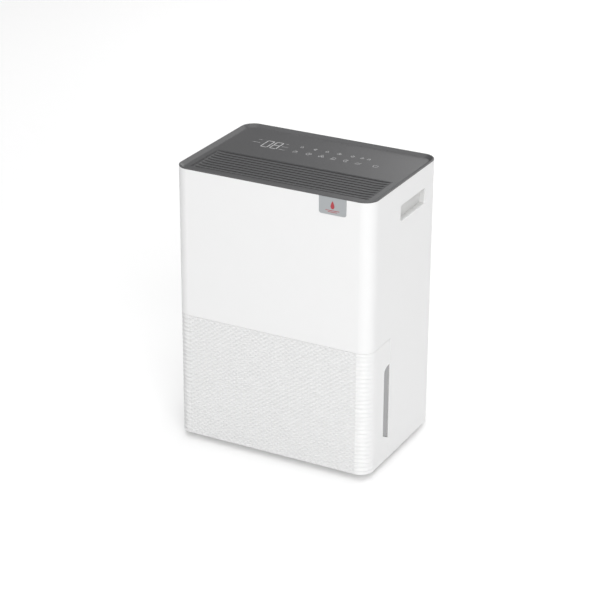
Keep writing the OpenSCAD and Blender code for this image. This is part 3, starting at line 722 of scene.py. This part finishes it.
class DEHUMIDIFIER_OT_panel(bpy.types.Operator):
    """Prints the digits and the generic icons on the control panel"""

    bl_idname = "dehumidifier.panel"
    bl_label = "Control panel marks"

    # Which of the seven bars each shown digit has, in the order top, middle, foot, then uprights
    DIGITS = ("tfabcd", "tmfabcd")
    # All in mm: each digit's left edge, their foot, width and height, the gap between bars and the stroke
    DIGITS_X, DIGITS_Y = (-104.8, -88.0), 35.5
    DIGIT_W, DIGIT_H, BAR_GAP, DIGIT_STROKE = 11.5, 29.0, 0.7, 1.5
    ICON_STROKE = 0.65
    # How high the printed ink stands on the panel
    DIGIT_INK, ICON_INK = 0.12, 0.1

    def bars(self, shown, x, y):
        """The bars of one digit whose lower left corner is at x, y."""
        w, h, gap = self.DIGIT_W, self.DIGIT_H, self.BAR_GAP
        mid = y + h / 2
        places = {
            "t": [(x + gap, y + h), (x + w - gap, y + h)], "m": [(x + gap, mid), (x + w - gap, mid)],
            "f": [(x + gap, y), (x + w - gap, y)], "a": [(x, mid + gap), (x, y + h - gap)],
            "b": [(x + w, mid + gap), (x + w, y + h - gap)], "c": [(x, y + gap), (x, mid - gap)],
            "d": [(x + w, y + gap), (x + w, mid - gap)],
        }
        return [(places[bar], False) for bar in shown]

    @staticmethod
    def icons():
        """Generic marks, each about 8 mm across and drawn round its own middle."""
        ring = arc(0, 0, 3.6)
        return {
            "power": [arc(0, 0, 3.6, 115, 425), ([(0, 1.5), (0, 4.6)], False)],
            "clock": [ring, ([(0, 2.4), (0, 0), (1.8, -1)], False)],
            "drop": [([(0, 4.4), (-2.2, 1.2), (-3, -1), (-2.2, -3),
                       (0, -3.9), (2.2, -3), (3, -1), (2.2, 1.2)], True)],
            "fan": [arc(0, 0, 0.9), arc(0, 2.6, 1.7, -60, 200), arc(2.3, -1.3, 1.7, 180, 440),
                    arc(-2.3, -1.3, 1.7, 60, 320)],
            "lock": [([(-3, -3.6), (3, -3.6), (3, 0.6), (-3, 0.6)], True), arc(0, 0.6, 2.0, 0, 180)],
            "moon": [arc(0, 0, 3.8, 60, 300), arc(2.6, 0, 3.0, 110, 250)],
            "swing": [([(-4, -2), (-1.4, 1.6), (1.4, -1.6), (4, 2)], False), ([(-4, -4), (4, -4)], False)],
            "dry": [arc(0, 1.4, 2.4, -20, 200), ([(-3.6, -1.2), (3.6, -1.2)], False),
                    ([(-3.6, -3.4), (3.6, -3.4)], False)],
        }

    def execute(self, context):
        digits = []
        for shown, x in zip(self.DIGITS, self.DIGITS_X):
            digits += self.bars(shown, x, self.DIGITS_Y)
        piece = stroke_piece("Panel_digits", digits, self.DIGIT_STROKE, self.DIGIT_INK)
        settle(piece, "Panel_digits", "cabinet", None, finish="pale_ink")

        icons = self.icons()
        lines = []
        lower = zip((-42, -18, 5, 27, 50, 72, 102),
                    ("lock", "clock", "fan", "dry", "moon", "swing", "power"))
        upper = zip((-42, -17, 4, 26, 50, 67, 79),
                    ("drop", "moon", "drop", "fan", "clock", "dry", "lock"))
        for row, y, size in ((lower, 39.5, 1.2), (upper, 63.0, 0.8)):
            for x, kind in row:
                lines += [moved(([(px * size, py * size) for px, py in points], closed), x, y)
                          for points, closed in icons[kind]]
        for x, y, length in ((-72, 63.5, 5), (-72, 50, 11), (-72, 36.5, 11),
                             (-127, 50, 14), (-122, 63.5, 7)):
            lines.append(([(x, y), (x + length, y)], False))
        piece = stroke_piece("Panel_icons", lines, self.ICON_STROKE, self.ICON_INK)
        settle(piece, "Panel_icons", "cabinet", None, finish="pale_ink")
        return {"FINISHED"}


class DEHUMIDIFIER_OT_badge(bpy.types.Operator):
    """Makes the badge plate: brushed metal with an inlaid drop and two thin lines"""

    bl_idname = "dehumidifier.badge"
    bl_label = "Badge plate"

    DROP_STEPS = 28

    def execute(self, context):
        low, high = BADGE_LOW / MM, BADGE_HIGH / MM
        front = low.y + 0.12
        plate = block((low.x, front, low.z), (high.x, high.y, high.z))
        activate(plate)
        bpy.ops.object.mode_set(mode="EDIT")
        choose(plate, "edges", lambda edge: all(v.co.z < (low.z + 1) * MM for v in edge.verts)
               and abs(edge.verts[0].co.x - edge.verts[1].co.x) < 0.1 * MM)
        bpy.ops.mesh.bevel(offset=3.9 * MM, segments=8, affect="EDGES")
        bpy.ops.object.mode_set(mode="OBJECT")
        bevel(plate, 0.3, 3)
        settle(plate, "Badge_plate", "cabinet", "brushed_badge", stands_for=("badge_plate",))

        x, z = (low.x + high.x) / 2, (low.z + high.z) / 2 + 2.2
        drop_line = []
        for i in range(self.DROP_STEPS):
            t = math.tau * i / self.DROP_STEPS
            drop_line.append((x + 4.6 * math.sin(t) * math.sin(t / 2) ** 1.3, z + 6.8 * math.cos(t)))
        points = [(px * MM, y * MM, pz * MM) for y in (front + 0.3, low.y + 0.02) for px, pz in drop_line]
        count = len(drop_line)
        faces = [tuple(range(count)), tuple(reversed(range(count, 2 * count)))]
        faces += [(i, i + count, (i + 1) % count + count, (i + 1) % count) for i in range(count)]
        drop = from_mesh("Badge_emblem", points, faces)
        face_outward(drop)
        settle(drop, "Badge_emblem", "cabinet", None, finish="red_ink")
        bars = [block((x - half, low.y + 0.02, low.z + rise), (x + half, front + 0.3, low.z + rise + 0.9))
                for half, rise in ((12, 6.6), (8, 4.2))]
        for bar in bars:
            bevel(bar, 0.05, 1)
        settle(join(bars, "Badge_lines"), "Badge_lines", "cabinet", None, finish="red_ink")
        return {"FINISHED"}


# ---- Tank cover ----

def outline(inset, steps=12):
    """The cabinet's two front corners in plan, left and right, from the left side round to the right."""
    radius = CORNER - inset
    centre_x, centre_y = HALF_W - CORNER, HALF_D - CORNER
    left = [(-centre_x - radius * math.cos(t), -centre_y - radius * math.sin(t))
            for t in (math.pi / 2 * i / steps for i in range(steps + 1))]
    return left, [(-x, y) for x, y in reversed(left)]


class DEHUMIDIFIER_OT_tank_cover(bpy.types.Operator):
    """Makes the tank's front cover: a staggered ripple on the front, plain ribs round the corners"""

    bl_idname = "dehumidifier.tank_cover"
    bl_label = "Tank front cover"

    WALL = 2.5 * MM
    CORNER_STEPS = 12
    WAVE_STEPS = 4
    ROW_STEPS = 8
    # The window notch: its front edge, then the heights at which its outline turns
    NOTCH_FRONT, HEEL, FOOT, KNEE, TIP = -65 * MM, 59 * MM, 48 * MM, 172 * MM, 182 * MM
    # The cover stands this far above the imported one, so that its seam with the casing is thin
    WIDER = 0.5 * MM
    # Below the rim, the flange reaches this far in from the outline, between two depths
    FLANGE, FLANGE_FOOT, FLANGE_TOP = 10.5 * MM, 3 * MM, 0.3 * MM

    def relief(self, x, round_part, z, look):
        """How far the surface lies inside the smooth outline at one point."""
        flat = HALF_W - CORNER
        half_wave = 2 * flat / look.ripple_count
        swell = math.cos(math.pi * x / half_wave + math.pi / 2 * (look.ripple_count % 2)) if abs(x) < flat \
            else math.cos(math.pi * flat / half_wave)
        wave = swell * math.cos(math.tau * (z - COVER_LOW.z) / look.ripple_row)
        fade = min(1, (z - COVER_LOW.z) / (2 * MM), (COVER_HIGH.z - z) / (2 * MM))
        fade *= 1 - max(0, min(1, (round_part - 0.65) / 0.3))
        return look.ripple_depth * (0.5 - 0.5 * wave) ** 1.4 * max(0, fade)

    def flange(self):
        """The flange inside the upper edge, which the tank hangs on."""
        back = COVER_HIGH.y
        rim_out, rim_in = outline(self.WALL, self.CORNER_STEPS), outline(self.FLANGE, self.CORNER_STEPS)
        path_out = [(-HALF_W + self.WALL, back)] + rim_out[0] + rim_out[1] + [(HALF_W - self.WALL, back)]
        path_in = [(-HALF_W + self.FLANGE, back)] + rim_in[0] + rim_in[1] + [(HALF_W - self.FLANGE, back)]
        n = len(path_out)
        z0, z1 = COVER_HIGH.z - self.FLANGE_FOOT, COVER_HIGH.z - self.FLANGE_TOP
        points = [(x, y, z) for z in (z0, z1) for path in (path_out, path_in) for x, y in path]
        faces = []
        for i in range(n - 1):
            faces += [(i, i + 1, n + i + 1, n + i), (2 * n + i, 3 * n + i, 3 * n + i + 1, 2 * n + i + 1),
                      (i, 2 * n + i, 2 * n + i + 1, i + 1), (n + i, n + i + 1, 3 * n + i + 1, 3 * n + i)]
        faces += [(0, n, 3 * n, 2 * n), (n - 1, 3 * n - 1, 4 * n - 1, 2 * n - 1)]
        flange = from_mesh("Flange", points, faces)
        face_outward(flange)
        return flange

    def execute(self, context):
        look = settings()
        flat = HALF_W - CORNER
        foot_z, top_z = COVER_LOW.z, COVER_HIGH.z + self.WIDER
        columns = []
        left, right = outline(0, self.CORNER_STEPS)
        columns.append((-HALF_W, CORNER - HALF_D + 2 * MM, 0, 1))
        for i, (x, y) in enumerate(left):
            columns.append((x, y, math.pi / 2 * i / self.CORNER_STEPS, 1 - i / self.CORNER_STEPS))
        count = look.ripple_count * self.WAVE_STEPS
        for i in range(1, count):
            columns.append((-flat + 2 * flat * i / count, -HALF_D, math.pi / 2, 0))
        for i, (x, y) in enumerate(right):
            columns.append((x, y, math.pi / 2 + math.pi / 2 * i / self.CORNER_STEPS, i / self.CORNER_STEPS))
        columns.append((HALF_W, CORNER - HALF_D + 2 * MM, math.pi, 1))
        rows = round((top_z - foot_z) / look.ripple_row * self.ROW_STEPS)
        levels = [foot_z + (top_z - foot_z) * j / rows for j in range(rows + 1)]

        points, faces = [], []
        for x, y, angle, round_part in columns:
            inward = Vector((math.cos(angle), math.sin(angle)))
            for z in levels:
                depth = self.relief(x, round_part, z, look)
                points.append((x + inward.x * depth, y + inward.y * depth, z))
        tall = len(levels)
        for i in range(len(columns) - 1):
            for j in range(rows):
                a = i * tall + j
                faces.append((a, a + tall, a + tall + 1, a + 1))
        inner_foot, inner_top = [], []
        for x, y, angle, round_part in columns:
            for z, chain in ((foot_z, inner_foot), (top_z, inner_top)):
                chain.append(len(points))
                points.append((x + math.cos(angle) * self.WALL, y + math.sin(angle) * self.WALL, z))
        for i in range(len(columns) - 1):
            foot, top = i * tall, i * tall + rows
            faces.append((foot + tall, foot, inner_foot[i], inner_foot[i + 1]))
            faces.append((top, top + tall, inner_top[i + 1], inner_top[i]))
            faces.append((inner_foot[i + 1], inner_foot[i], inner_top[i], inner_top[i + 1]))

        back = COVER_HIGH.y
        notch = [(back, foot_z), (back, self.FOOT), (self.NOTCH_FRONT, self.HEEL)]
        run, rise = back - self.NOTCH_FRONT, self.TIP - self.KNEE
        notch += [(back - run * math.cos(t), self.KNEE + rise * math.sin(t))
                  for t in (math.pi / 2 * i / 10 for i in range(11))]
        notch.append((back, top_z))
        for side, column in ((-1, 0), (1, len(columns) - 1)):
            outer_chain = list(range(column * tall, column * tall + tall))
            outer, inner = [], []
            for y, z in notch:
                outer.append(len(points))
                points.append((side * HALF_W, y, z))
                inner.append(len(points))
                points.append((side * (HALF_W - self.WALL), y, z))
            skin = outer_chain[::-1] + outer
            lining = [inner_top[column], inner_foot[column]] + inner
            faces.append(tuple(skin if side < 0 else reversed(skin)))
            faces.append(tuple(reversed(lining) if side < 0 else lining))
            ring_out = [outer_chain[0]] + outer + [outer_chain[-1]]
            ring_in = [inner_foot[column]] + inner + [inner_top[column]]
            for i in range(len(ring_out) - 1):
                quad = (ring_out[i], ring_out[i + 1], ring_in[i + 1], ring_in[i])
                faces.append(quad if side > 0 else quad[::-1])
        shell = from_mesh("Tank_cover", points, faces)
        face_outward(shell)
        bevel(shell, 0.3, 2, angle=60)

        cover = join([shell, self.flange()], "Tank_cover")
        settle(cover, "Tank_cover", "tank", "white_abs", smooth=35, stands_for=("tank_front_cover",))
        # The rippled front's faces take the darker finish, whose colour paints the ripples' shade
        cover.data.materials.append(FINISH["ripple_abs_painted_shade"])
        for face in cover.data.polygons:
            if face.center.y < -HALF_D + self.WALL and face.normal.y < -0.2 and abs(face.center.x) < flat:
                face.material_index = 1
        return {"FINISHED"}


# ---- Rear ----

class DEHUMIDIFIER_OT_filter_net(bpy.types.Operator):
    """Makes the filter's net: upright threads behind level ones, in a thin rim"""

    bl_idname = "dehumidifier.filter_net"
    bl_label = "Filter net"

    # All in mm: a thread's thickness, how far the upright threads lie behind the level ones, and the rim
    THREAD, LAYER, RIM = 0.4, 0.42, 2.5

    def execute(self, context):
        look = settings()
        low, high = NET_LOW / MM, NET_HIGH / MM
        pitch = look.net_pitch / MM
        pieces = []
        for along, across in ((0, 2), (2, 0)):
            y0 = low.y + (0.0 if along else self.LAYER)
            start = [low.x + 1, y0, low.z + 1]
            end = [high.x - 1, y0 + self.THREAD, high.z - 1]
            end[across] = start[across] + self.THREAD
            thread = block(start, end)
            count = int(((high - low)[across] - 2) / pitch)
            copies = [thread]
            for i in range(1, count):
                copy = thread.copy()
                copy.data = thread.data.copy()
                context.scene.collection.objects.link(copy)
                copy.location[across] = i * pitch * MM
                copies.append(copy)
            pieces.append(join(copies, "Threads"))
        rim = block((low.x, low.y, low.z), (high.x, high.y, high.z))
        activate(rim)
        bpy.ops.object.mode_set(mode="EDIT")
        choose(rim, "faces", lambda face: abs(face.normal.y) > 0.5)
        bpy.ops.mesh.inset(thickness=self.RIM * MM, use_individual=True)
        bpy.ops.mesh.delete(type="FACE")
        choose(rim, "edges", lambda edge: edge.is_boundary)
        bpy.ops.mesh.bridge_edge_loops()
        bpy.ops.object.mode_set(mode="OBJECT")
        net = join(pieces + [rim], "Filter_net")
        settle(net, "Filter_net", "filter", "filter_net", stands_for=("filter_mesh",))
        return {"FINISHED"}


# ---- Add-on ----

OPERATORS = (
    DEHUMIDIFIER_OT_stage,
    DEHUMIDIFIER_OT_parts,
    DEHUMIDIFIER_OT_top_cover,
    DEHUMIDIFIER_OT_outlet,
    DEHUMIDIFIER_OT_panel,
    DEHUMIDIFIER_OT_badge,
    DEHUMIDIFIER_OT_tank_cover,
    DEHUMIDIFIER_OT_filter_net,
)


class DEHUMIDIFIER_PT_panel(bpy.types.Panel):
    """Lists the steps and the settings"""

    bl_label = "Dehumidifier"
    bl_space_type = "VIEW_3D"
    bl_region_type = "UI"
    bl_category = "Dehumidifier"

    def draw(self, context):
        look = context.scene.dehumidifier
        for name in DehumidifierSettings.__annotations__:
            self.layout.prop(look, name)
        for operator in OPERATORS:
            self.layout.operator(operator.bl_idname)


CLASSES = (DehumidifierSettings,) + OPERATORS + (DEHUMIDIFIER_PT_panel,)


def register():
    for cls in CLASSES:
        bpy.utils.register_class(cls)
    bpy.types.Scene.dehumidifier = PointerProperty(type=DehumidifierSettings)


def unregister():
    del bpy.types.Scene.dehumidifier
    for cls in reversed(CLASSES):
        bpy.utils.unregister_class(cls)


def main():
    register()
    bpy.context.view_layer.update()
    FINISH.update(make_finishes(settings()))
    for operator in OPERATORS:
        group, name = operator.bl_idname.split(".")
        getattr(getattr(bpy.ops, group), name)()


if __name__ == "__main__":
    main()
